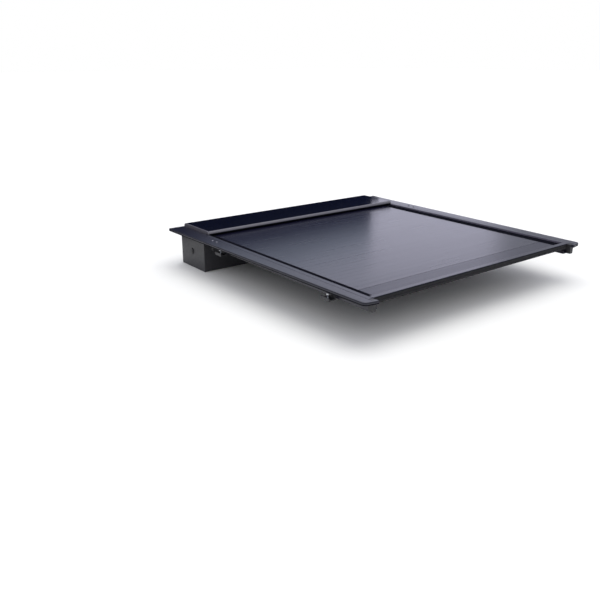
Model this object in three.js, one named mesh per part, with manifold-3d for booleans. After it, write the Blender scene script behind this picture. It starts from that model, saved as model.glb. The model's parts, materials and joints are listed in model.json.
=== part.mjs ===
// Retractable pickup-bed cover: a slatted aluminium curtain runs in two side rails and retracts
// into a canister at the cab end. Millimetres. X to the truck's right, Y to the cab, Z up.
// The origin lies midway between the bed rails, level with their tops, at the tailgate end.
import * as THREE from 'three';
import Module from 'manifold-3d';
import { mergeVertices } from 'three/addons/utils/BufferGeometryUtils.js';

const wasm = await Module();
wasm.setup();

// Driving sizes
const GAP = 0.3; // air left between two pieces that touch in the real thing
const OPENING_HALF = 708; // centre line to a rail's inner wall
const TOP = 16; // level of the caps and of the rails' top edge
const DECK = 6; // level of the curtain's upper face
const CURTAIN = 14; // thickness of the curtain
const BAR = 131; // rear bar, tailgate edge to first slat
const SLATS = 15; // curtain sections, each with two ribs
const PITCH = 81.4; // length of one curtain section along Y
const SLAT_HALF = OPENING_HALF + 19; // the slats reach into the rail channels
const LID_REAR = 1322; // rear edge of the lid's rounded rim
const LID_TOP = 34;
const FRONT = 1602; // cab end of the cover
const CANISTER_FLOOR = -200;
const CANISTER_HALF = 732; // centre line to the inside of an end plate
const RAIL_END = LID_REAR - 0.5;
const CAP_INNER = OPENING_HALF + 26; // beside the rails
const CAP_INNER_FRONT = OPENING_HALF + 5; // beside the lid
const CAP_OUTER_REAR = 780;
const CAP_OUTER_FRONT = 811;
const CAP_REAR = -32; // at its outer corner
const CAP_SKEW = 10; // degrees by which the rear edge runs back towards the centre line
const CAP_HOOK = -22.5; // rearwards of this, the cap covers the rail's end too
const DRUM = { y: 1475, z: -105, radius: 40, wall: 2.5, half: 690 };
const SCREW = { x: 757, rows: [1158, 1201] };
const CLAMP_ROWS = [230, 1120];
const DRAIN_Y = 1300;
const SIDES = [['left', -1], ['right', 1]];

const group = new THREE.Group();

// Materials
const paint = (color, roughness, metalness) =>
  new THREE.MeshStandardMaterial({ color, roughness, metalness });
const FINISH = {
  slat: () => paint(0x3a3a40, 0.42, 0.35),
  bar: () => paint(0x38383e, 0.42, 0.35),
  rail: () => paint(0x2b2b31, 0.45, 0.4),
  cap: () => paint(0x6a6a72, 0.7, 0.0),
  lid: () => paint(0x15151a, 0.3, 0.2),
  shell: () => paint(0x1c1c20, 0.55, 0.2),
  rubber: () => paint(0x0b0b0c, 0.85, 0.0),
  plastic: () => paint(0x17171a, 0.6, 0.0),
  steel: () => paint(0xb4b6ba, 0.3, 0.9),
  aluminium: () => paint(0xa9abb0, 0.4, 0.85),
};

// Geometry helpers
const arc = (cx, cy, r, from, to, steps) =>
  Array.from({ length: steps + 1 }, (_, i) => {
    const a = THREE.MathUtils.degToRad(from + ((to - from) * i) / steps);
    return [cx + r * Math.cos(a), cy + r * Math.sin(a)];
  });

// A flat shape from its outline and holes, both listed in either direction
const outline = (points, holes = []) => {
  const anticlockwise = (list) => {
    const vectors = list.map(([a, b]) => new THREE.Vector2(a, b));
    return THREE.ShapeUtils.isClockWise(vectors) ? vectors.reverse() : vectors;
  };
  const shape = new THREE.Shape(anticlockwise(points));
  shape.holes = holes.map((hole) => new THREE.Path(anticlockwise(hole)));
  return shape;
};

const extrude = (shape, depth) =>
  new THREE.ExtrudeGeometry(shape, { depth, bevelEnabled: false, steps: 1 });

const basis = (x, y, z) => new THREE.Matrix4().makeBasis(x, y, z);
const X = new THREE.Vector3(1, 0, 0);
const Y = new THREE.Vector3(0, 1, 0);
const Z = new THREE.Vector3(0, 0, 1);

// A (y, z) section drawn out along X, and an (x, z) section drawn out along Y
const alongX = (shape, x0, x1) =>
  extrude(shape, x1 - x0).applyMatrix4(basis(Y, Z, X)).translate(x0, 0, 0);
const alongY = (shape, y0, y1) =>
  extrude(shape, y1 - y0).applyMatrix4(basis(X, Z, Y.clone().negate())).translate(0, y1, 0);

// A closed (radius, height) profile turned about Z, X or a line of any direction
const turned = (profile, segments, direction = Z) => {
  const points = profile.map(([r, h]) => new THREE.Vector2(r, h));
  const turn = new THREE.Quaternion().setFromUnitVectors(Y, direction);
  return new THREE.LatheGeometry(points, segments).applyQuaternion(turn);
};

const rod = (radius, x0, x1) =>
  turned([[0, x0], [radius, x0], [radius, x1], [0, x1]], 20, X);

const box = (x0, x1, y0, y1, z0, z1) =>
  new THREE.BoxGeometry(x1 - x0, y1 - y0, z1 - z0)
    .translate((x0 + x1) / 2, (y0 + y1) / 2, (z0 + z1) / 2);

const toManifold = (geometry) => {
  const bare = geometry.clone();
  bare.deleteAttribute('normal');
  bare.deleteAttribute('uv');
  const merged = mergeVertices(bare, 1e-3);
  const index = merged.index.array;
  const triangles = [];
  for (let i = 0; i < index.length; i += 3) {
    const [a, b, c] = index.slice(i, i + 3);
    if (a !== b && b !== c && c !== a) triangles.push(a, b, c);
  }
  return new wasm.Manifold(new wasm.Mesh({
    numProp: 3,
    vertProperties: new Float32Array(merged.attributes.position.array),
    triVerts: new Uint32Array(triangles),
  }));
};

const fromManifold = (solid) => {
  const mesh = solid.getMesh();
  const geometry = new THREE.BufferGeometry();
  geometry.setAttribute('position', new THREE.BufferAttribute(mesh.vertProperties, 3));
  geometry.setIndex(new THREE.BufferAttribute(mesh.triVerts, 1));
  geometry.computeVertexNormals();
  return geometry;
};

const cut = (geometry, ...tools) =>
  fromManifold(tools.reduce((solid, tool) => solid.subtract(toManifold(tool)), toManifold(geometry)));

const join = (...parts) =>
  fromManifold(parts.slice(1).reduce((solid, part) => solid.add(toManifold(part)), toManifold(parts[0])));

const add = (name, geometry, material, position = [0, 0, 0]) => {
  const mesh = new THREE.Mesh(geometry, material);
  mesh.name = name;
  mesh.position.set(...position);
  group.add(mesh);
};

// One curtain section: a hollow extrusion with a groove down its middle, a socket along its
// rear edge and a bead along its front edge that hooks into the next section's socket
function slatSection() {
  const seam = 0.8;
  const width = PITCH - seam;
  const middle = width / 2;
  const chamfer = 1.2;
  const wall = 1.8;
  const bottom = -CURTAIN;
  const axis = bottom / 2;
  const socket = 4.2;
  const bead = width + seam + socket;
  const points = [
    [0, -chamfer], [chamfer, 0],
    [middle - chamfer, 0], [middle, -chamfer], [middle + chamfer, 0],
    [width - chamfer, 0], [width, -chamfer],
    [width, axis + 1.1],
    ...arc(bead, axis, 2.6, 155, -155, 10),
    [width, axis - 1.1],
    [width, bottom + chamfer], [width - chamfer, bottom],
    [chamfer, bottom], [0, bottom + chamfer],
    [0, axis - 1.9],
    ...arc(socket, axis, 3.4, 214, 506, 10),
    [0, axis + 1.9],
  ];
  const chamber = (from, to, floor, roof) => [[from, floor], [to, floor], [to, roof], [from, roof]];
  return outline(points, [
    chamber(9.6, middle - 1.6, bottom + wall, -wall - 0.6),
    chamber(middle + 1.6, width - wall, bottom + wall + 0.3, -wall - 0.9),
  ]);
}

function addSlats() {
  const section = slatSection();
  for (let i = 0; i < SLATS; i += 1) {
    const geometry = alongX(section, -SLAT_HALF, SLAT_HALF);
    const name = `slat_${String(i + 1).padStart(2, '0')}`;
    add(name, geometry, FINISH.slat(), [0, BAR + 0.8 + i * PITCH, DECK]);
  }
}

// Rear bar: hollow extrusion, level with the curtain, with a raised lip along the tailgate
function rearBarSection() {
  const bottom = DECK - CURTAIN;
  const wall = 1.8;
  const lip = 26;
  const foot = 33;
  const axis = DECK - CURTAIN / 2;
  const points = [
    ...arc(3, TOP - 3, 3, 180, 90, 4),
    [lip, TOP], [foot, DECK], [BAR - 1.2, DECK], [BAR, DECK - 1.2],
    [BAR, axis + 1.1],
    ...arc(BAR + 0.8 + 4.2, axis, 2.6, 155, -155, 10),
    [BAR, axis - 1.1],
    [BAR, bottom + 1.2], [BAR - 1.2, bottom],
    [6, bottom], [6, TOP - 4], [0, TOP - 4],
  ];
  const chamber = (from, to, floor, roof) => [[from, floor], [to, floor], [to, roof], [from, roof]];
  return outline(points, [
    chamber(9, lip - 2, bottom + wall + 0.2, TOP - 2.4),
    chamber(lip + 1, 75, bottom + wall, DECK - 2.2),
    chamber(78, BAR - 7, bottom + wall + 0.4, DECK - 2.5),
  ]);
}

function addRearBar() {
  const half = OPENING_HALF - 1.6;
  const bottom = DECK - CURTAIN;
  add('rear_bar', alongX(rearBarSection(), -half, half), FINISH.bar());

  const seal = outline([
    [5.6, TOP - 4.4], [1, TOP - 4.4], [0.4, bottom + 6],
    ...arc(-0.6, bottom + 1, 4.4, 120, 300, 8), [5.6, bottom + 1],
  ]);
  add('tailgate_seal', alongX(seal, -half, half), FINISH.rubber());

  const latchLine = { y: 45, z: DECK - 6.8 };
  const inner = half + GAP;
  const outer = SLAT_HALF + 1;
  const shoe = outline([
    [8, bottom], [BAR - 5, bottom], [BAR - 2, bottom + 3], [BAR - 2, DECK - 2.7], [BAR - 5, DECK],
    [8, DECK], [5, DECK - 3], [5, bottom + 3],
  ], [arc(latchLine.y, latchLine.z, 4.2, 0, 345, 23)]);
  for (const [side, sign] of SIDES) {
    const [x0, x1] = sign > 0 ? [inner, outer] : [-outer, -inner];
    add(`guide_shoe_${side}`, alongX(shoe, x0, x1), FINISH.plastic());
    const [r0, r1] = sign > 0 ? [66, outer + 0.6] : [-outer - 0.6, -66];
    add(`latch_rod_${side}`, rod(2.5, r0, r1), FINISH.steel(), [0, latchLine.y, latchLine.z]);
  }
}

// Pull latch and key lock under the middle of the rear bar
function addLatch() {
  const under = DECK - CURTAIN - GAP;
  const pivot = { y: 102, z: under - 15 };
  const housing = outline([
    [-62, under], [62, under], [62, under - 24], [58, under - 24], [58, under - 3],
    [-58, under - 3], [-58, under - 24], [-62, under - 24],
  ]);
  add('latch_housing', alongY(housing, 40, 114), FINISH.plastic());
  add('latch_pin', rod(4, -57.6, 57.6), FINISH.steel(), [0, pivot.y, pivot.z]);

  const lever = outline([
    ...arc(0, 0, 8, 170, -145, 14),
    [-44, -4.6], [-52, -9], [-55, -9], [-55, -6.4], [-46, 1.4],
  ], [arc(0, 0, 4.5, 0, 345, 23)]);
  add('latch_lever', alongX(lever, -54, 54), FINISH.plastic(), [0, pivot.y, pivot.z]);

  const barrel = turned([
    [0, -12.5], [11, -12.5], [12.5, -11], [12.5, -9], [9, -9], [9, 0], [0, 0],
  ], 28);
  const keyway = box(-0.9, 0.9, -6, 6, -14, -11);
  add('lock_barrel', cut(barrel, keyway), FINISH.steel(), [112, 84, under]);
}

// Side rail: an upright wall with a top edge, a flange on the bed rail, a channel for the
// curtain, a closed box under it and a gutter that catches what drips past the curtain
function railSection(sign) {
  const at = (list) => list.map(([u, z]) => [sign * (OPENING_HALF + u), z]);
  const roof = DECK + 1;
  const ledge = DECK - CURTAIN - 1;
  const points = [
    ...arc(2.5, TOP - 2.5, 2.5, 180, 90, 5),
    [25.4, TOP], [25.4, TOP - 3], [3, TOP - 3], [3, roof + 3], [24.5, roof + 3], [24.5, 3],
    [56, 3], [56, 0], [24.5, 0], [24.5, -37], [-25, -37], [-25, -22], [-22, -22], [-22, -34],
    [3, -34], [3, ledge], [21.5, ledge], [21.5, roof], [0, roof],
  ];
  const hollow = [[6, ledge - 2.5], [21.3, ledge - 2.5], [21.3, -33], [6, -33]];
  return outline(at(points), [at(hollow)]);
}

function addRails() {
  for (const [side, sign] of SIDES) {
    const drain = turned([[0, -50], [7, -50], [7, -30], [0, -30]], 20)
      .translate(sign * (OPENING_HALF - 10), DRAIN_Y, 0);
    const rail = cut(alongY(railSection(sign), 0, RAIL_END), drain);
    add(`side_rail_${side}`, rail, FINISH.rail());

    const fitting = turned([
      [5, -32], [7.2, -32], [8.6, -24], [7.5, -22], [8.6, -16], [7.5, -14], [7.5, -3], [12, -3],
      [12, 0], [5, 0], [5, -32],
    ], 20);
    const below = [sign * (OPENING_HALF - 10), DRAIN_Y, -37 - GAP];
    add(`drain_fitting_${side}`, fitting, FINISH.plastic(), below);

    const strip = outline([
      [3.4, DECK + 4.3], [22, DECK + 4.3], [24.4, DECK + 5], [24.4, DECK + 6.2], [22, TOP - 3.3],
      [3.4, TOP - 3.3],
    ].map(([u, z]) => [sign * (OPENING_HALF + u), z]));
    add(`rail_seal_${side}`, alongY(strip, 0, RAIL_END), FINISH.rubber());

    const plug = outline([
      [0, TOP - 3], [2, TOP - 1], [23, TOP - 1], [25, TOP - 3], [25, -34], [22, -37], [3, -37],
      [0, -34],
    ].map(([u, z]) => [sign * (OPENING_HALF + u), z]));
    add(`rail_end_${side}`, alongY(plug, -22, -GAP), FINISH.plastic());
  }
}

// Bed-rail cap: a moulded shell, wider towards the cab, with a rounded tailgate corner. It fills
// in towards the lid where the rail ends, and wraps round the rail's end at the tailgate
function capPlan(sign, inset) {
  const outerAt = (y) => CAP_OUTER_REAR + ((CAP_OUTER_FRONT - CAP_OUTER_REAR) * y) / FRONT;
  const radius = 26;
  const front = FRONT - inset;
  const step = RAIL_END + 1.5 + inset;
  const inner = OPENING_HALF + 1 + inset;
  const corner = arc(
    outerAt(0) - radius, CAP_REAR + radius, radius - inset, -90 - CAP_SKEW, 0, 9,
  );
  const [cornerX, cornerY] = corner[0];
  const rear = cornerY - (cornerX - inner) * Math.tan(THREE.MathUtils.degToRad(CAP_SKEW));
  const points = [
    [CAP_INNER_FRONT + inset, front], [CAP_INNER_FRONT + inset, step],
    [CAP_INNER + inset, step], [CAP_INNER + inset, CAP_HOOK - inset], [inner, CAP_HOOK - inset],
    [inner, rear], ...corner, [outerAt(front) - inset, front],
  ];
  return outline(points.map(([x, y]) => [sign * x, y]));
}

function addCaps() {
  const edge = 2.4;
  const wall = 3.2;
  for (const [side, sign] of SIDES) {
    const shell = new THREE.ExtrudeGeometry(capPlan(sign, edge), {
      depth: TOP - 2 * edge, bevelEnabled: true, bevelSize: edge, bevelThickness: edge,
      bevelSegments: 3, steps: 1,
    }).translate(0, 0, edge);
    const hollow = extrude(capPlan(sign, wall), TOP - wall + 10).translate(0, 0, -10);
    const [f0, f1] = [CAP_INNER - 5, OPENING_HALF + 57].map((x) => sign * x);
    const flange = box(Math.min(f0, f1), Math.max(f0, f1), -1, RAIL_END + 1, -5, 3.4);
    const [e0, e1] = [CAP_INNER - 5, 796].map((x) => sign * x);
    const ears = box(Math.min(e0, e1), Math.max(e0, e1), RAIL_END, FRONT - 5, -5, 3.5);
    const [m0, m1] = [CAP_INNER_FRONT - 5, CAP_INNER + 3].map((x) => sign * x);
    const mouth = box(Math.min(m0, m1), Math.max(m0, m1), RAIL_END + 0.3, FRONT - 4, -4, DECK + 1);
    const holes = SCREW.rows.map((y) =>
      turned([[0, 0], [3.4, 0], [3.4, 30], [0, 30]], 16).translate(sign * SCREW.x, y, 0));
    add(`rail_cap_${side}`, cut(shell, hollow, flange, ears, mouth, ...holes), FINISH.cap());
    SCREW.rows.forEach((y, i) => {
      const screw = turned([
        [0, -9], [3, -9], [3, GAP], [7, GAP], [7, 1.4], [6, 3], [3.5, 4.1],
        [2.6, 4.3], [2.6, 2.4], [0, 2.4],
      ], 24);
      add(`cap_screw_${side}_${i + 1}`, screw, FINISH.steel(), [sign * SCREW.x, y, TOP]);
    });
  }
}

// Clamps that grip the truck's bed rail from below, each with its bolt
function addClamps() {
  const section = (sign) => outline([
    [24.8, -8], [29.4, -8], [29.4, -40], [62, -40], [62, -30], [67, -30], [67, -45], [24.8, -45],
  ].map(([u, z]) => [sign * (OPENING_HALF + u), z]));
  const boltAt = OPENING_HALF + 48;
  CLAMP_ROWS.forEach((y, i) => {
    for (const [side, sign] of SIDES) {
      const hole = turned([[0, -60], [4.6, -60], [4.6, -30], [0, -30]], 16)
        .translate(sign * boltAt, y, 0);
      const jaw = cut(alongY(section(sign), y - 28, y + 28), hole);
      add(`clamp_${side}_${i + 1}`, jaw, FINISH.shell());
      const hexagon = turned([[0, -7.3], [7.5, -7.3], [7.5, -GAP], [0, -GAP]], 6);
      const shank = turned([[0, -4], [4, -4], [4, 26], [9, 26], [9, 29], [0, 29]], 16);
      const bolt = join(hexagon, shank);
      add(`clamp_bolt_${side}_${i + 1}`, bolt, FINISH.steel(), [sign * boltAt, y, -45]);
    }
  });
}

// Canister: folded trough, two end plates with ears on the bed rails, and over it a lid with
// a rounded rim, an end piece on each side and a wiper that rests on the curtain
function addCanister() {
  const wall = 2.5;
  const rear = LID_REAR + 15;
  const front = FRONT - 6;
  const half = CANISTER_HALF;
  const floor = CANISTER_FLOOR;
  const mouth = DECK - CURTAIN - 4;
  const shell = outline([
    [rear, mouth], [rear, floor], [front, floor], [front, 3], [front - wall, 3],
    [front - wall, floor + wall], [rear + wall, floor + wall], [rear + wall, mouth],
  ]);
  add('canister_shell', alongX(shell, -half, half), FINISH.shell());

  for (const [side, sign] of SIDES) {
    const plate = outline([
      [half + GAP, 3], [half + GAP, floor], [half + 4, floor], [half + 4, 0], [792, 0], [792, 3],
    ].map(([x, z]) => [sign * x, z]));
    const bore = rod(18.5, -half - 20, half + 20).translate(0, DRUM.y, DRUM.z);
    add(`canister_end_${side}`, cut(alongY(plate, rear, front), bore), FINISH.shell());
  }

  const rim = 16;
  const sheet = 3;
  const underside = TOP + GAP;
  const crown = (inset) => [
    ...arc(FRONT - rim, LID_TOP - rim, rim - inset, 0, 90, 8),
    ...arc(LID_REAR + rim, LID_TOP - rim, rim - inset, 90, 180, 8),
  ];
  const lid = outline([
    [FRONT, 1], ...crown(0), [LID_REAR + 1, underside], [LID_REAR + sheet + 1, underside],
    ...crown(sheet).reverse(), [FRONT - sheet, 1],
  ]);
  const lidHalf = OPENING_HALF - 4;
  add('canister_lid', alongX(lid, -lidHalf, lidHalf), FINISH.lid());
  const end = outline([
    [FRONT, DECK + 1.5], ...crown(0), [LID_REAR + 1, underside], [LID_REAR + 19, underside],
    [LID_REAR + 23, DECK + 1.5],
  ]);
  for (const [side, sign] of SIDES) {
    const [x0, x1] = [lidHalf + GAP, lidHalf + 7.4].map((x) => sign * x);
    add(`lid_trim_${side}`, alongX(end, Math.min(x0, x1), Math.max(x0, x1)), FINISH.lid());
  }

  const wiper = outline([
    [22, 30.7], [36, 30.7], [36, 27.5], [31, 27.5], [30, DECK + 0.4], [28.4, DECK + 0.4],
    [27, 27.5], [22, 27.5],
  ].map(([y, z]) => [LID_REAR + y, z]));
  add('wiper_seal', alongX(wiper, -lidHalf + 1, lidHalf - 1), FINISH.rubber());
}

// Winding drum, its two hubs, the bushings in the end plates and the coil spring inside
function addDrum() {
  const { y, z, radius, wall, half } = DRUM;
  const end = CANISTER_HALF;
  const tube = turned([
    [radius - wall, -half], [radius, -half], [radius, half], [radius - wall, half],
    [radius - wall, -half],
  ], 36, X);
  add('drum_tube', tube, FINISH.aluminium(), [0, y, z]);
  for (const [side, sign] of SIDES) {
    const direction = X.clone().multiplyScalar(sign);
    const inner = radius - wall - GAP;
    const hub = turned([
      [0, half - 175], [20, half - 175], [20, half - 30], [inner, half - 30],
      [inner, half + GAP], [radius + 8, half + GAP], [radius + 8, half + 4],
      [10, half + 4], [10, end + 10], [0, end + 10],
    ], 32, direction);
    const bushing = turned([
      [10.5, end - 4], [24, end - 4], [24, end], [18, end], [18, end + 8], [10.5, end + 8],
      [10.5, end - 4],
    ], 32, direction);
    add(`drum_hub_${side}`, hub, FINISH.plastic(), [0, y, z]);
    add(`drum_bushing_${side}`, bushing, FINISH.plastic(), [0, y, z]);
  }
  const turns = 11;
  const coil = new THREE.CatmullRomCurve3(Array.from({ length: turns * 10 + 1 }, (_, i) => {
    const a = (i / 10) * 2 * Math.PI;
    return new THREE.Vector3(540 + (i / 10) * 9, 26 * Math.cos(a), 26 * Math.sin(a));
  }));
  const wire = new THREE.Shape().absarc(0, 0, 2.4, 0, 2 * Math.PI);
  const spring = new THREE.ExtrudeGeometry(wire, {
    steps: turns * 10, curveSegments: 3, extrudePath: coil, bevelEnabled: false,
  });
  add('torsion_spring', spring, FINISH.steel(), [0, y, z]);
}

addCanister();
addDrum();
addRails();
addCaps();
addClamps();
addSlats();
addRearBar();
addLatch();

export default group;
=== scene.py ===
import json
import math

import bmesh
import bpy
from mathutils import Matrix, Vector


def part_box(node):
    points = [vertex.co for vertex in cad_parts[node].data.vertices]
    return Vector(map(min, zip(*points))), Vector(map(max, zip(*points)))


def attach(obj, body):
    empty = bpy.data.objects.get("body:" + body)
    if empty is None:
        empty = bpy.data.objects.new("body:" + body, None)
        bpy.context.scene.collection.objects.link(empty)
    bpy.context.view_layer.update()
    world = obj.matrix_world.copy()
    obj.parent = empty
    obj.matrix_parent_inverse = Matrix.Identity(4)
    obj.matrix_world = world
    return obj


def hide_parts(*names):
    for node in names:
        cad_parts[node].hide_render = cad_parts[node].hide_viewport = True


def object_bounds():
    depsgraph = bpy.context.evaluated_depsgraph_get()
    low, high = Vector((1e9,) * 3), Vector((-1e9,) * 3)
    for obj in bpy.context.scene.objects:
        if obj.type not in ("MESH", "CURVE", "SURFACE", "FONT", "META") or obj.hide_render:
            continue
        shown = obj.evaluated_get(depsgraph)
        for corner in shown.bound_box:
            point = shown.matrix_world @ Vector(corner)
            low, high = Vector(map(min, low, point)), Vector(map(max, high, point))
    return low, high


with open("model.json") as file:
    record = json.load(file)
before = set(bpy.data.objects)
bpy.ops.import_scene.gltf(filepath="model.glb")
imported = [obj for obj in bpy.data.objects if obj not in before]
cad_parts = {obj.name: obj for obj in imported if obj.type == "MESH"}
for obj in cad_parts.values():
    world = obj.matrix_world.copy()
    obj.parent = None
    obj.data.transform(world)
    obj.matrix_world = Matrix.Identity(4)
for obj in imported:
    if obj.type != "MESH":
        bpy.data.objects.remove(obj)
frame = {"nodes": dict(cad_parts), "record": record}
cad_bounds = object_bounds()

MM = 0.001
SIDES = (("left", -1), ("right", 1))
BODY_OF = {
    node: body
    for body, nodes in frame["record"]["behaviour"]["bodies"].items()
    for node in nodes
}
SLATS = sorted(name for name in frame["nodes"] if name.startswith("slat_"))

# ---------------------------------------------------------------- camera, floor and light

CAMERA_PLACE = (-2.537, -1.884, 0.9405)
CAMERA_YAW = 37.6
CAMERA_PITCH = -19.7
CAMERA_LENS = 40.4

camera = bpy.data.objects.new("camera", bpy.data.cameras.new("camera"))
camera.data.lens = CAMERA_LENS
camera.data.sensor_width = 36
camera.location = CAMERA_PLACE
camera.rotation_euler = (math.radians(90 + CAMERA_PITCH), 0, -math.radians(CAMERA_YAW))
bpy.context.scene.collection.objects.link(camera)
bpy.context.scene.camera = camera
bpy.context.scene.view_settings.view_transform = "Standard"


# ---------------------------------------------------------------- materials

def node_material(name):
    material = bpy.data.materials.new(name)
    material.use_nodes = True
    tree = material.node_tree
    shader = tree.nodes["Principled BSDF"]
    return material, tree, shader


DUST = (0.30, 0.29, 0.28, 1)


def surface(
    name, base, rough, metallic=0.0, mottle=0.12, rough_spread=0.06, grain=900.0, grain_depth=0.02,
    cells=0.0, cell_depth=0.0, stretch=(1, 1, 1), specular=0.5, soil=0.0,
):
    """A finish with mottled colour, uneven roughness and a fine grain. Grain and cell depths are
    in millimetres, grain and cells in counts to the metre; soil is how much dust shows."""
    material, tree, shader = node_material(name)
    add, link = tree.nodes.new, tree.links.new
    place = add("ShaderNodeTexCoord")
    scale = add("ShaderNodeMapping")
    scale.inputs["Scale"].default_value = stretch
    link(place.outputs["Object"], scale.inputs["Vector"])

    broad = add("ShaderNodeTexNoise")
    broad.inputs["Scale"].default_value = 9.0
    broad.inputs["Detail"].default_value = 5.0
    link(place.outputs["Object"], broad.inputs["Vector"])
    colour = add("ShaderNodeMix")
    colour.data_type = "RGBA"
    colour.inputs["A"].default_value = (*[c * (1 - mottle) for c in base], 1)
    colour.inputs["B"].default_value = (*[min(1.0, c * (1 + mottle)) for c in base], 1)
    link(broad.outputs["Fac"], colour.inputs["Factor"])
    shade = colour.outputs["Result"]

    fine = add("ShaderNodeTexNoise")
    fine.inputs["Scale"].default_value = grain
    fine.inputs["Detail"].default_value = 3.0
    link(scale.outputs["Vector"], fine.inputs["Vector"])

    if soil:
        dust = add("ShaderNodeTexNoise")
        dust.inputs["Scale"].default_value = 34.0
        dust.inputs["Detail"].default_value = 8.0
        dust.inputs["Roughness"].default_value = 0.7
        link(place.outputs["Object"], dust.inputs["Vector"])
        ramp = add("ShaderNodeMapRange")
        ramp.inputs["From Min"].default_value = 0.52
        ramp.inputs["From Max"].default_value = 0.78
        ramp.inputs["To Max"].default_value = soil
        link(dust.outputs["Fac"], ramp.inputs["Value"])
        dusty = add("ShaderNodeMix")
        dusty.data_type = "RGBA"
        dusty.inputs["B"].default_value = DUST
        link(ramp.outputs["Result"], dusty.inputs["Factor"])
        link(shade, dusty.inputs["A"])
        shade = dusty.outputs["Result"]
    link(shade, shader.inputs["Base Color"])

    uneven = add("ShaderNodeMapRange")
    uneven.inputs["From Min"].default_value = 0.25
    uneven.inputs["From Max"].default_value = 0.75
    uneven.inputs["To Min"].default_value = max(0.02, rough - rough_spread)
    uneven.inputs["To Max"].default_value = min(1.0, rough + rough_spread)
    streaks = add("ShaderNodeTexNoise")
    streaks.inputs["Scale"].default_value = 60.0
    streaks.inputs["Detail"].default_value = 6.0
    link(scale.outputs["Vector"], streaks.inputs["Vector"])
    link(streaks.outputs["Fac"], uneven.inputs["Value"])
    link(uneven.outputs["Result"], shader.inputs["Roughness"])

    bump = add("ShaderNodeBump")
    bump.inputs["Strength"].default_value = 1.0
    bump.inputs["Distance"].default_value = grain_depth * MM
    link(fine.outputs["Fac"], bump.inputs["Height"])
    if cells:
        pebble = add("ShaderNodeTexVoronoi")
        pebble.feature = "SMOOTH_F1"
        pebble.inputs["Scale"].default_value = cells
        link(place.outputs["Object"], pebble.inputs["Vector"])
        leather = add("ShaderNodeBump")
        leather.inputs["Strength"].default_value = 1.0
        leather.inputs["Distance"].default_value = cell_depth * MM
        link(pebble.outputs["Distance"], leather.inputs["Height"])
        link(bump.outputs["Normal"], leather.inputs["Normal"])
        bump = leather
    link(bump.outputs["Normal"], shader.inputs["Normal"])

    shader.inputs["Metallic"].default_value = metallic
    shader.inputs["Specular IOR Level"].default_value = specular
    return material


ALONG_X = (0.03, 1, 1)
ALONG_Y = (1, 0.03, 1)
FINISH = {
    "curtain_coat": surface(
        "curtain_coat_finish", (0.004, 0.004, 0.014), 0.26, mottle=0.10, rough_spread=0.02,
        grain=420, grain_depth=0.012, stretch=ALONG_X, specular=0.40, soil=0.015,
    ),
    "bar_coat": surface(
        "bar_coat_finish", (0.004, 0.004, 0.014), 0.31, mottle=0.10, rough_spread=0.02,
        grain=420, grain_depth=0.012, stretch=ALONG_X, specular=0.30, soil=0.015,
    ),
    "rail_coat": surface(
        "rail_coat_finish", (0.014, 0.014, 0.024), 0.37, mottle=0.10, rough_spread=0.04,
        grain=420, grain_depth=0.016, stretch=ALONG_Y, soil=0.02,
    ),
    "cap_moulding": surface(
        "cap_moulding_finish", (0.010, 0.010, 0.019), 0.35, mottle=0.10, rough_spread=0.03,
        grain=1500, grain_depth=0.012, cells=620, cell_depth=0.035, soil=0.02,
    ),
    "lid_coat": surface(
        "lid_coat_finish", (0.003, 0.0035, 0.007), 0.20, mottle=0.10, rough_spread=0.005,
        grain=300, grain_depth=0.001, specular=0.20,
    ),
    "canister_coat": surface(
        "canister_coat_finish", (0.022, 0.022, 0.025), 0.50, mottle=0.15, rough_spread=0.07,
        grain=700, grain_depth=0.04, soil=0.04,
    ),
    "black_rubber": surface(
        "black_rubber_finish", (0.010, 0.010, 0.011), 0.75, mottle=0.25, rough_spread=0.08,
        grain=1100, grain_depth=0.05, specular=0.25, soil=0.02,
    ),
    "black_plastic": surface(
        "black_plastic_finish", (0.015, 0.015, 0.017), 0.52, mottle=0.15, rough_spread=0.06,
        grain=1400, grain_depth=0.03, cells=900, cell_depth=0.05, soil=0.02,
    ),
    "bright_steel": surface(
        "bright_steel_finish", (0.60, 0.61, 0.64), 0.24, metallic=1.0, mottle=0.10,
        rough_spread=0.08, grain=2200, grain_depth=0.01, stretch=(1, 1, 0.1),
    ),
    "plain_aluminium": surface(
        "plain_aluminium_finish", (0.30, 0.31, 0.33), 0.52, metallic=1.0, mottle=0.08,
        rough_spread=0.08, grain=900, grain_depth=0.02, stretch=ALONG_X,
    ),
}
# Painted shade: this dark finish scatters what falls on it and hardly shines. It stands in for the shade
# in the gaps along the curtain's ends, behind the rear bar and under the caps' skirts, and for the
# rails' dark reflections in the deck
PAINTED_SHADE = surface(
    "painted_shade_finish", (0.006, 0.006, 0.009), 0.95, mottle=0.3, rough_spread=0.04,
    grain=2600, grain_depth=0.25, specular=0.0, soil=0.01,
)
# The lid's rolled rims and its end pieces are left matt and in a lighter tone: a painted highlight on
# the upper part of the rims and on the end pieces, where the rounded edges catch the light
RIM_HIGHLIGHT = surface(
    "lid_rim_painted_highlight", (0.088, 0.084, 0.096), 0.50, mottle=0.08, rough_spread=0.03,
    grain=700, grain_depth=0.01, stretch=ALONG_X, soil=0.02,
)
# The rails' inner walls, seen from within the opening: the rails' own coat made lighter and more violet,
# painted light for what the walls catch
WALL_LIGHT = surface(
    "rail_wall_painted_light", (0.085, 0.078, 0.108), 0.50, mottle=0.08, rough_spread=0.03,
    grain=500, grain_depth=0.01, stretch=ALONG_Y, soil=0.02,
)
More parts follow.
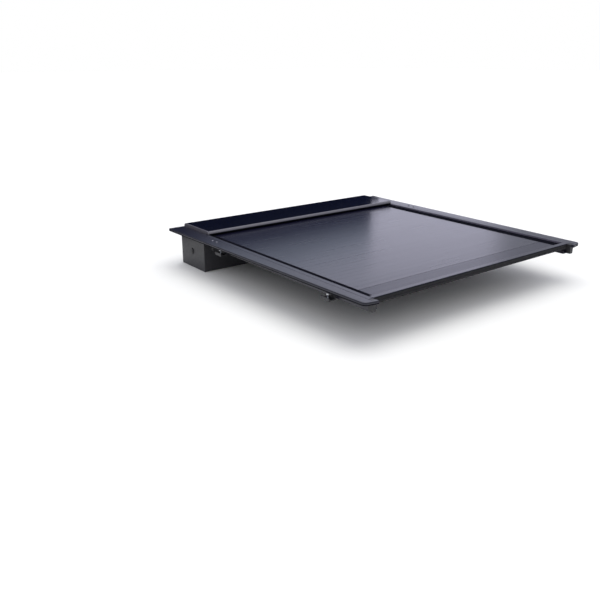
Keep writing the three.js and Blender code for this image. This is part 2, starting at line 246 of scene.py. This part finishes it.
# The caps' skirts: matt above, with a bead and a foam strip below it; the foam strip takes the painted
# shade finish, for the dark gap against the truck
SKIRT = surface(
    "cap_skirt_finish", (0.012, 0.012, 0.020), 0.62, mottle=0.15, rough_spread=0.05,
    grain=1500, grain_depth=0.02, specular=0.30, soil=0.02,
)
SCREW = surface(
    "cap_screw_finish", (0.20, 0.20, 0.22), 0.42, metallic=1.0, mottle=0.10,
    rough_spread=0.06, grain=2200, grain_depth=0.01,
)
FLOOR_FINISH = surface(
    "floor_finish", (0.88, 0.87, 0.80), 0.80, mottle=0.01, grain=60, grain_depth=0.1,
)


def brighten_far_out(material, near, far, strength):
    """The sweep of a studio floor: it turns to plain white away from the object."""
    tree = material.node_tree
    place = tree.nodes.new("ShaderNodeTexCoord")
    reach = tree.nodes.new("ShaderNodeVectorMath")
    reach.operation = "LENGTH"
    rise = tree.nodes.new("ShaderNodeMapRange")
    rise.interpolation_type = "SMOOTHSTEP"
    rise.inputs["From Min"].default_value = near
    rise.inputs["From Max"].default_value = far
    rise.inputs["To Max"].default_value = strength
    shader = tree.nodes["Principled BSDF"]
    shader.inputs["Emission Color"].default_value = (1, 0.98, 0.88, 1)
    tree.links.new(place.outputs["Object"], reach.inputs[0])
    tree.links.new(reach.outputs["Value"], rise.inputs["Value"])
    tree.links.new(rise.outputs["Result"], shader.inputs["Emission Strength"])


brighten_far_out(FLOOR_FINISH, 1.6, 6.0, 0.5)


# ---------------------------------------------------------------- making pieces

def round_edges(piece, width, segments=2, angle=32):
    bevel = piece.modifiers.new("rounded", "BEVEL")
    bevel.width = width * MM
    bevel.segments = segments
    bevel.limit_method = "ANGLE"
    bevel.angle_limit = math.radians(angle)
    bevel.use_clamp_overlap = True


def piece_from(name, bm, slot, body, edge=0.0, segments=2, smooth_angle=38, finish=None):
    """A new piece from a bmesh: finished, rounded and riding on its body. A smooth angle of 0
    leaves every face flat."""
    bmesh.ops.recalc_face_normals(bm, faces=bm.faces)
    mesh = bpy.data.meshes.new(name)
    bm.to_mesh(mesh)
    bm.free()
    if smooth_angle:
        mesh.shade_smooth()
        mesh.set_sharp_from_angle(angle=math.radians(smooth_angle))
    mesh.materials.append(finish or FINISH[slot])
    piece = bpy.data.objects.new(name, mesh)
    bpy.context.scene.collection.objects.link(piece)
    if edge:
        round_edges(piece, edge, segments)
    if smooth_angle:
        weighted = piece.modifiers.new("weighted", "WEIGHTED_NORMAL")
        weighted.keep_sharp = True
    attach(piece, body)
    return piece


def solid_of(node):
    """A CAD node's shape as a clean bmesh, with its flat faces whole again."""
    bm = bmesh.new()
    bm.from_mesh(frame["nodes"][node].data)
    bmesh.ops.remove_doubles(bm, verts=bm.verts, dist=2e-6)
    bmesh.ops.dissolve_limit(
        bm, angle_limit=math.radians(0.6), verts=bm.verts, edges=bm.edges, use_dissolve_boundaries=False,
    )
    return bm


def rebuilt(node, slot, edge=0.5, segments=2, smooth_angle=38, shape=None):
    """A finer piece that stands for one CAD node."""
    bm = shape or solid_of(node)
    piece = piece_from(f"{node}_finished", bm, slot, BODY_OF[node], edge, segments, smooth_angle)
    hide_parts(node)
    return piece


def prism(section, axis, low, high):
    """A bmesh of a closed section drawn out along an axis: X takes (y, z), Y takes (x, z) and
    Z takes (x, y)."""
    spread = {
        "X": lambda a, b, t: (t, a, b),
        "Y": lambda a, b, t: (a, t, b),
        "Z": lambda a, b, t: (a, b, t),
    }[axis]
    bm = bmesh.new()
    rings = [[bm.verts.new(spread(a, b, t)) for a, b in section] for t in (low, high)]
    count = len(section)
    for i in range(count):
        j = (i + 1) % count
        bm.faces.new((rings[0][i], rings[0][j], rings[1][j], rings[1][i]))
    bm.faces.new(rings[0])
    bm.faces.new(rings[1])
    return bm


def lathe(rings, place=(0, 0, 0), direction=(0, 0, 1), steps=32):
    """A bmesh turned about a line. Each ring is (radius, height) or (radius, height, sides),
    where sides gives a polygon across its flats in place of a circle."""
    bm = bmesh.new()
    loops = []
    for radius, height, *sides in rings:
        if radius == 0:
            loops.append([bm.verts.new((0, 0, height))])
            continue
        loop = []
        for i in range(steps):
            a = 2 * math.pi * i / steps
            r = radius
            if sides:
                sector = 2 * math.pi / sides[0]
                r = radius / math.cos((a % sector) - sector / 2)
            loop.append(bm.verts.new((r * math.cos(a), r * math.sin(a), height)))
        loops.append(loop)
    for low, high in zip(loops, loops[1:]):
        for i in range(steps):
            j = (i + 1) % steps
            if len(low) == 1:
                bm.faces.new((low[0], high[i], high[j]))
            elif len(high) == 1:
                bm.faces.new((low[i], low[j], high[0]))
            else:
                bm.faces.new((low[i], low[j], high[j], high[i]))
    turn = Vector((0, 0, 1)).rotation_difference(Vector(direction)).to_matrix().to_4x4()
    bm.transform(Matrix.Translation(place) @ turn)
    return bm


# ---------------------------------------------------------------- curtain

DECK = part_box(SLATS[0])[1].z
SLAT_LENGTH = 80.6 * MM  # rear edge to front edge of the upper face
SLAT_SKIN = 6.5 * MM  # depth of the edge that faces the next slat
SEAM_CLOSING = 0.7 * MM
GROOVE_DEPTH = 1.2 * MM
SOFT_DEPTH = 0.12 * MM
NEAR = 0.1 * MM

TRIM_INNER = {"left": 0.668, "right": 0.654}  # the strips' edges, from the centre line
TRIM_LIFT = 0.02 * MM
TRIM_RISE = 0.35 * MM  # low enough to pass under the wiper
TRIM_EDGE = 0.15  # rounding, in mm


def slat_shape(node):
    """A slat whose grooves run out softly and whose seam to the next is narrow."""
    bm = solid_of(node)
    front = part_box(node)[0].y + SLAT_LENGTH
    for vertex in bm.verts:
        place = vertex.co
        if abs(place.z - DECK + GROOVE_DEPTH) < NEAR:
            place.z = DECK - SOFT_DEPTH
        if abs(place.y - front) < NEAR and place.z > DECK - SLAT_SKIN:
            place.y += SEAM_CLOSING
    return bm


def shade_strips(owner, rear, front, end):
    """Painted shade strips along one piece's two ends, from its rear to its front: dark strips for the
    gap shade and the rails' dark reflections there.
    """
    for side, sign in SIDES:
        x0, x1 = sorted((sign * TRIM_INNER[side], sign * end))
        strip = [
            (rear, DECK + TRIM_LIFT), (rear, DECK + TRIM_RISE),
            (front, DECK + TRIM_RISE), (front, DECK + TRIM_LIFT),
        ]
        piece_from(
            f"{owner}_end_trim_{side}", prism(strip, "X", x0, x1), "black_rubber", owner,
            edge=TRIM_EDGE, smooth_angle=0, finish=PAINTED_SHADE,
        )


for node in SLATS:
    rebuilt(node, "curtain_coat", edge=0.3, smooth_angle=0, shape=slat_shape(node))
    low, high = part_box(node)
    rear = low.y + 0.2 * MM
    shade_strips(node, rear, rear + SLAT_LENGTH - 0.4 * MM, high.x - 0.2 * MM)

# ---------------------------------------------------------------- rear bar

bar = rebuilt("rear_bar", "bar_coat", edge=0.7, segments=3)
bar.data.materials.append(FINISH["curtain_coat"])
bar.data.materials.append(PAINTED_SHADE)
LIP_FOOT = 33 * MM  # where the raised lip meets the bar's level part
BAR_TRIM_END = 130.5 * MM
# The bar's rear face takes the painted shade finish, for the shade between the bar and the tailgate; the
# level top of its lip takes the curtain's coat
for face in bar.data.polygons:
    if face.normal.z > 0.9 and face.center.z > DECK + 8 * MM:
        face.material_index = 1
    elif face.normal.y < -0.9:
        face.material_index = 2
shade_strips("rear_bar", LIP_FOOT + 1 * MM, BAR_TRIM_END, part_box("rear_bar")[1].x + 0.2 * MM)
rebuilt("tailgate_seal", "black_rubber", edge=0.5)
for side, _ in SIDES:
    rebuilt(f"guide_shoe_{side}", "black_plastic", edge=0.5)
    rebuilt(f"latch_rod_{side}", "bright_steel", edge=0.4)
rebuilt("latch_housing", "black_plastic", edge=0.7)
rebuilt("latch_lever", "black_plastic", edge=0.8, segments=3)
rebuilt("latch_pin", "bright_steel", edge=0.4)
rebuilt("lock_barrel", "bright_steel", edge=0.3)

# ---------------------------------------------------------------- rails, caps and clamps

OPENING_HALF = 0.708
FLANGE = 25.4 * MM  # width of the rail's top flange
FLANGE_GAP = 0.4 * MM
CAP_INNER = 0.734
CAP_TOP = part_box("rail_cap_left")[1].z
UPPER = 12.5 * MM  # above this level lie the flange and the cap's upper face
CAP_ROUNDING = 2.6 * MM
BEAD = 8.6 * MM  # the skirt's bead lies between these levels, and its foam strip below them
FOAM = 5.6 * MM
LID_REAR, LID_FRONT = (corner.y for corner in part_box("canister_lid"))


def rail_shape(node, sign):
    """A rail whose top flange closes up to the cap beside it."""
    bm = solid_of(node)
    for vertex in bm.verts:
        place = vertex.co
        if place.z > UPPER and abs(sign * place.x - OPENING_HALF - FLANGE) < 0.2 * MM:
            place.x += sign * FLANGE_GAP
    return bm


def cap_shape(node, sign):
    """A cap with a fuller outer edge and a square edge against the rail's flange, with its
    skirt divided for its bead and its foam strip."""
    bm = solid_of(node)
    for vertex in bm.verts:
        place = vertex.co
        beside = 0 < sign * place.x - CAP_INNER + 0.1 * MM < 2.7 * MM
        if beside and place.z > UPPER and -0.02 < place.y < LID_REAR:
            place.x = sign * (CAP_INNER + 0.1 * MM)
    bmesh.ops.remove_doubles(bm, verts=bm.verts, dist=5e-5)
    outer = [
        e for e in bm.edges
        if all(v.co.z > CAP_TOP - 0.1 * MM for v in e.verts)
        and all(sign * v.co.x > 0.765 or v.co.y < -0.02 for v in e.verts)
        and abs(e.calc_face_angle(0)) > 0.2
    ]
    rear = min(vertex.co.y for vertex in bm.verts)
    bmesh.ops.bevel(bm, geom=outer, offset=CAP_ROUNDING, segments=2, affect="EDGES", profile=0.5)
    for vertex in bm.verts:
        vertex.co.y = max(vertex.co.y, rear)
    for level in (BEAD, FOAM):
        bmesh.ops.bisect_plane(
            bm, geom=bm.verts[:] + bm.edges[:] + bm.faces[:], plane_co=(0, 0, level),
            plane_no=(0, 0, 1),
        )
    return bm


for side, sign in SIDES:
    node = f"side_rail_{side}"
    rail = rebuilt(node, "rail_coat", edge=0.5, shape=rail_shape(node, sign))
    rail.data.materials.append(WALL_LIGHT)
    # Painted light: the faces of the rail's inner wall take the lighter wall tone
    for face in rail.data.polygons:
        on_wall = sign * face.center.x < OPENING_HALF + 0.5 * MM and face.center.z > DECK
        if on_wall and sign * face.normal.x < -0.4:
            face.material_index = 1
    rebuilt(f"rail_seal_{side}", "black_rubber", edge=0.3)
    rebuilt(f"rail_end_{side}", "black_plastic", edge=0.8, segments=3)
    cap = rebuilt(
        f"rail_cap_{side}", "cap_moulding", edge=0.0, smooth_angle=24,
        shape=cap_shape(f"rail_cap_{side}", sign),
    )
    cap.data.materials.append(SKIRT)
    cap.data.materials.append(PAINTED_SHADE)
    # Outer skirt faces above the bead take the matt skirt finish; those below the foam level take the
    # painted shade finish
    for face in cap.data.polygons:
        outward = sign * face.normal.x > 0.25 or face.normal.y < -0.25
        at_rim = sign * face.center.x > 0.76 or face.center.y < -0.02
        if outward and at_rim:
            if face.center.z > BEAD:
                face.material_index = 1
            elif face.center.z < FOAM:
                face.material_index = 2
    rebuilt(f"drain_fitting_{side}", "black_plastic", edge=0.25)


CAP_SEAT = 16.3 * MM  # level on which the cap screws' washers lie


def cap_screw(node):
    """A button-head screw with a hexagon socket, on a pressed washer."""
    low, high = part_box(node)
    place = ((low.x + high.x) / 2, (low.y + high.y) / 2, CAP_SEAT)
    height = high.z - place[2]
    head = lathe(
        [
            (0, -9 * MM), (2.4 * MM, -9 * MM), (3.0 * MM, -8 * MM), (3.0 * MM, 0.1 * MM),
            (6.9 * MM, 0.1 * MM), (7.0 * MM, 0.4 * MM), (6.6 * MM, 0.9 * MM), (5.6 * MM, 1.0 * MM),
            (5.5 * MM, 1.3 * MM), (5.2 * MM, 2.2 * MM), (4.5 * MM, 3.0 * MM), (3.6 * MM, 3.6 * MM),
            (2.5 * MM, height), (2.1 * MM, height - 0.1 * MM, 6), (2.0 * MM, height - 0.5 * MM, 6),
            (2.0 * MM, 1.6 * MM, 6), (0, 1.3 * MM),
        ],
        place, steps=36,
    )
    screw = rebuilt(node, "bright_steel", edge=0.0, shape=head, smooth_angle=30)
    screw.data.materials[0] = SCREW


def clamp_bolt(node):
    """A hexagon bolt with a flange under its head, a rolled thread and a hexagon nut above."""
    low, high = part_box(node)
    centre = ((low.x + high.x) / 2, (low.y + high.y) / 2, low.z)
    across = (high.x - low.x) / 2
    top = high.z - low.z
    rings = [
        (0, 0.6 * MM), (4.6 * MM, 0.6 * MM), (5.0 * MM, 0.0), (6.2 * MM, 0.3 * MM, 6),
        (6.5 * MM, 1.0 * MM, 6), (6.5 * MM, 5.2 * MM, 6), (8.3 * MM, 5.9 * MM),
        (8.6 * MM, 6.6 * MM), (8.4 * MM, 7.0 * MM), (4.0 * MM, 7.0 * MM),
    ]
    height = 8.0 * MM
    nut = top - 5.5 * MM
    while height < nut:
        rings += [(4.0 * MM, height), (3.45 * MM, height + 0.6 * MM)]
        height += 1.2 * MM
    rings += [
        (4.0 * MM, nut), (across - 1.0 * MM, nut, 6), (across - 0.6 * MM, nut + 0.6 * MM, 6),
        (across - 0.6 * MM, top - 0.8 * MM, 6), (across - 1.6 * MM, top - 0.1 * MM),
        (4.0 * MM, top - 0.1 * MM), (3.6 * MM, top), (0, top),
    ]
    rebuilt(node, "bright_steel", edge=0.0, shape=lathe(rings, centre, steps=36), smooth_angle=30)


for side, _ in SIDES:
    for number in (1, 2):
        cap_screw(f"cap_screw_{side}_{number}")
        rebuilt(f"clamp_{side}_{number}", "canister_coat", edge=0.7, segments=3)
        clamp_bolt(f"clamp_bolt_{side}_{number}")

# ---------------------------------------------------------------- canister, lid and drum


def canister_trough():
    """The trough with its two long bottom folds rounded."""
    bm = solid_of("canister_shell")
    low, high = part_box("canister_shell")
    bottom = low.z + 4 * MM
    folds = [
        e for e in bm.edges
        if abs(e.verts[0].co.x - e.verts[1].co.x) > 1.0 and max(v.co.z for v in e.verts) < bottom
    ]
    bmesh.ops.bevel(bm, geom=folds, offset=7 * MM, segments=6, affect="EDGES", profile=0.5)
    return bm


rebuilt("canister_shell", "canister_coat", edge=0.4, shape=canister_trough())
lid = rebuilt("canister_lid", "lid_coat", edge=0.4, smooth_angle=50)
lid.data.materials.append(RIM_HIGHLIGHT)
RIM_WIDTH = 12 * MM
HIGHLIGHT_FOOT = 21 * MM
# Painted highlight: faces near the lid's rear and front edges and above the highlight's foot take the
# lighter tone; the lower part of each rim keeps the lid's coat
for face in lid.data.polygons:
    inner = min(face.center.y - LID_REAR, LID_FRONT - face.center.y)
    if inner < RIM_WIDTH and face.center.z > HIGHLIGHT_FOOT:
        face.material_index = 1
rebuilt("wiper_seal", "black_rubber", edge=0.3)
for side, _ in SIDES:
    rebuilt(f"canister_end_{side}", "canister_coat", edge=0.5)
    trim = rebuilt(f"lid_trim_{side}", "lid_coat", edge=0.9, segments=3, smooth_angle=50)
    # The lid's end pieces take the painted highlight tone all over
    trim.data.materials[0] = RIM_HIGHLIGHT
    rebuilt(f"drum_hub_{side}", "black_plastic", edge=0.5)
    rebuilt(f"drum_bushing_{side}", "black_plastic", edge=0.4)
rebuilt("drum_tube", "plain_aluminium", edge=0.3)
rebuilt("torsion_spring", "bright_steel", edge=0.0, smooth_angle=70)

# ---------------------------------------------------------------- stage


def staged(name, bm, material):
    """A stage piece, which isn't part of the object."""
    mesh = bpy.data.meshes.new(name)
    bm.to_mesh(mesh)
    bm.free()
    mesh.materials.append(material)
    piece = bpy.data.objects.new(name, mesh)
    bpy.context.scene.collection.objects.link(piece)
    return piece


FLOOR_HALF = 60
FLOOR_LEVEL = cad_bounds[0].z - 0.5 * MM
floor_outline = [
    (-FLOOR_HALF, -FLOOR_HALF), (FLOOR_HALF, -FLOOR_HALF), (FLOOR_HALF, FLOOR_HALF),
    (-FLOOR_HALF, FLOOR_HALF),
]
floor_bm = prism(floor_outline, "Z", FLOOR_LEVEL - 20 * MM, FLOOR_LEVEL)
bmesh.ops.recalc_face_normals(floor_bm, faces=floor_bm.faces)
staged("floor", floor_bm, FLOOR_FINISH)


def rise_with_height(tree, coordinate, start, end, low, high):
    """A value that goes from low to high as the named coordinate's height goes from start to end."""
    place = tree.nodes.new("ShaderNodeTexCoord")
    height = tree.nodes.new("ShaderNodeSeparateXYZ")
    rise = tree.nodes.new("ShaderNodeMapRange")
    rise.inputs["From Min"].default_value = start
    rise.inputs["From Max"].default_value = end
    rise.inputs["To Min"].default_value = low
    rise.inputs["To Max"].default_value = high
    tree.links.new(place.outputs[coordinate], height.inputs["Vector"])
    tree.links.new(height.outputs["Z"], rise.inputs["Value"])
    return rise.outputs["Result"]


# A dark flag past the cab end, seen in reflections only. It glows towards its top, so that its
# reflection fades out along the deck.
FLAG_OUTLINE = [
    (-0.95, -0.1), (1.00, -0.1), (1.00, 0.14), (0.93, 0.14), (0.93, 0.50), (-0.95, 0.50),
]
FLAG_FACES = (1.74, 1.76)
FLAG_GLOW = {"start": 0.26, "end": 0.36, "low": 0.0, "high": 1.1}
flag_material, flag_tree, flag_shader = node_material("flag_finish")
flag_shader.inputs["Base Color"].default_value = (0.002, 0.006, 0.035, 1)
flag_shader.inputs["Roughness"].default_value = 1.0
flag_shader.inputs["Specular IOR Level"].default_value = 0.0
flag_shader.inputs["Emission Color"].default_value = (0.74, 0.83, 1.0, 1)
flag_tree.links.new(
    rise_with_height(flag_tree, "Object", **FLAG_GLOW), flag_shader.inputs["Emission Strength"],
)
flag = staged("flag", prism(FLAG_OUTLINE, "Y", *FLAG_FACES), flag_material)
flag.visible_camera = False
flag.visible_shadow = False
flag.visible_transmission = False
flag.visible_diffuse = False


def softbox(name, place, target, size, power, colour=(1, 1, 1)):
    light = bpy.data.lights.new(name, "AREA")
    light.shape = "RECTANGLE"
    light.size, light.size_y = size
    light.energy = power
    light.color = colour
    lamp = bpy.data.objects.new(name, light)
    lamp.location = place
    aim = Vector(target) - Vector(place)
    lamp.rotation_mode = "QUATERNION"
    lamp.rotation_quaternion = aim.to_track_quat("-Z", "Y")
    lamp.visible_camera = False
    bpy.context.scene.collection.objects.link(lamp)


softbox("overhead", (0.2, 0.6, 4.2), (0, 0.7, 0), (4.5, 4.5), 110)
softbox("far_side", (4.4, 4.9, 1.5), (0, 0.7, 0.1), (3.0, 2.2), 23, (0.82, 0.80, 1.0))
softbox("near_side", (-3.6, -3.2, 2.8), (0, 0.6, 0), (2.5, 2.5), 40)

# The surroundings light the object a little more from higher up. The camera sees them plain white.
ROOM_GLOW = {"start": 0.24, "end": 0.46, "low": 0.58, "high": 1.02}
world = bpy.data.worlds.new("studio")
bpy.context.scene.world = world
world.use_nodes = True
tree = world.node_tree
room = tree.nodes["Background"]
room.inputs["Color"].default_value = (0.85, 0.87, 1.0, 1)
tree.links.new(rise_with_height(tree, "Generated", **ROOM_GLOW), room.inputs["Strength"])
seen = tree.nodes.new("ShaderNodeBackground")
seen.inputs["Color"].default_value = (1, 1, 1, 1)
ray = tree.nodes.new("ShaderNodeLightPath")
choice = tree.nodes.new("ShaderNodeMixShader")
tree.links.new(ray.outputs["Is Camera Ray"], choice.inputs["Fac"])
tree.links.new(room.outputs["Background"], choice.inputs[1])
tree.links.new(seen.outputs["Background"], choice.inputs[2])
tree.links.new(choice.outputs["Shader"], tree.nodes["World Output"].inputs["Surface"])
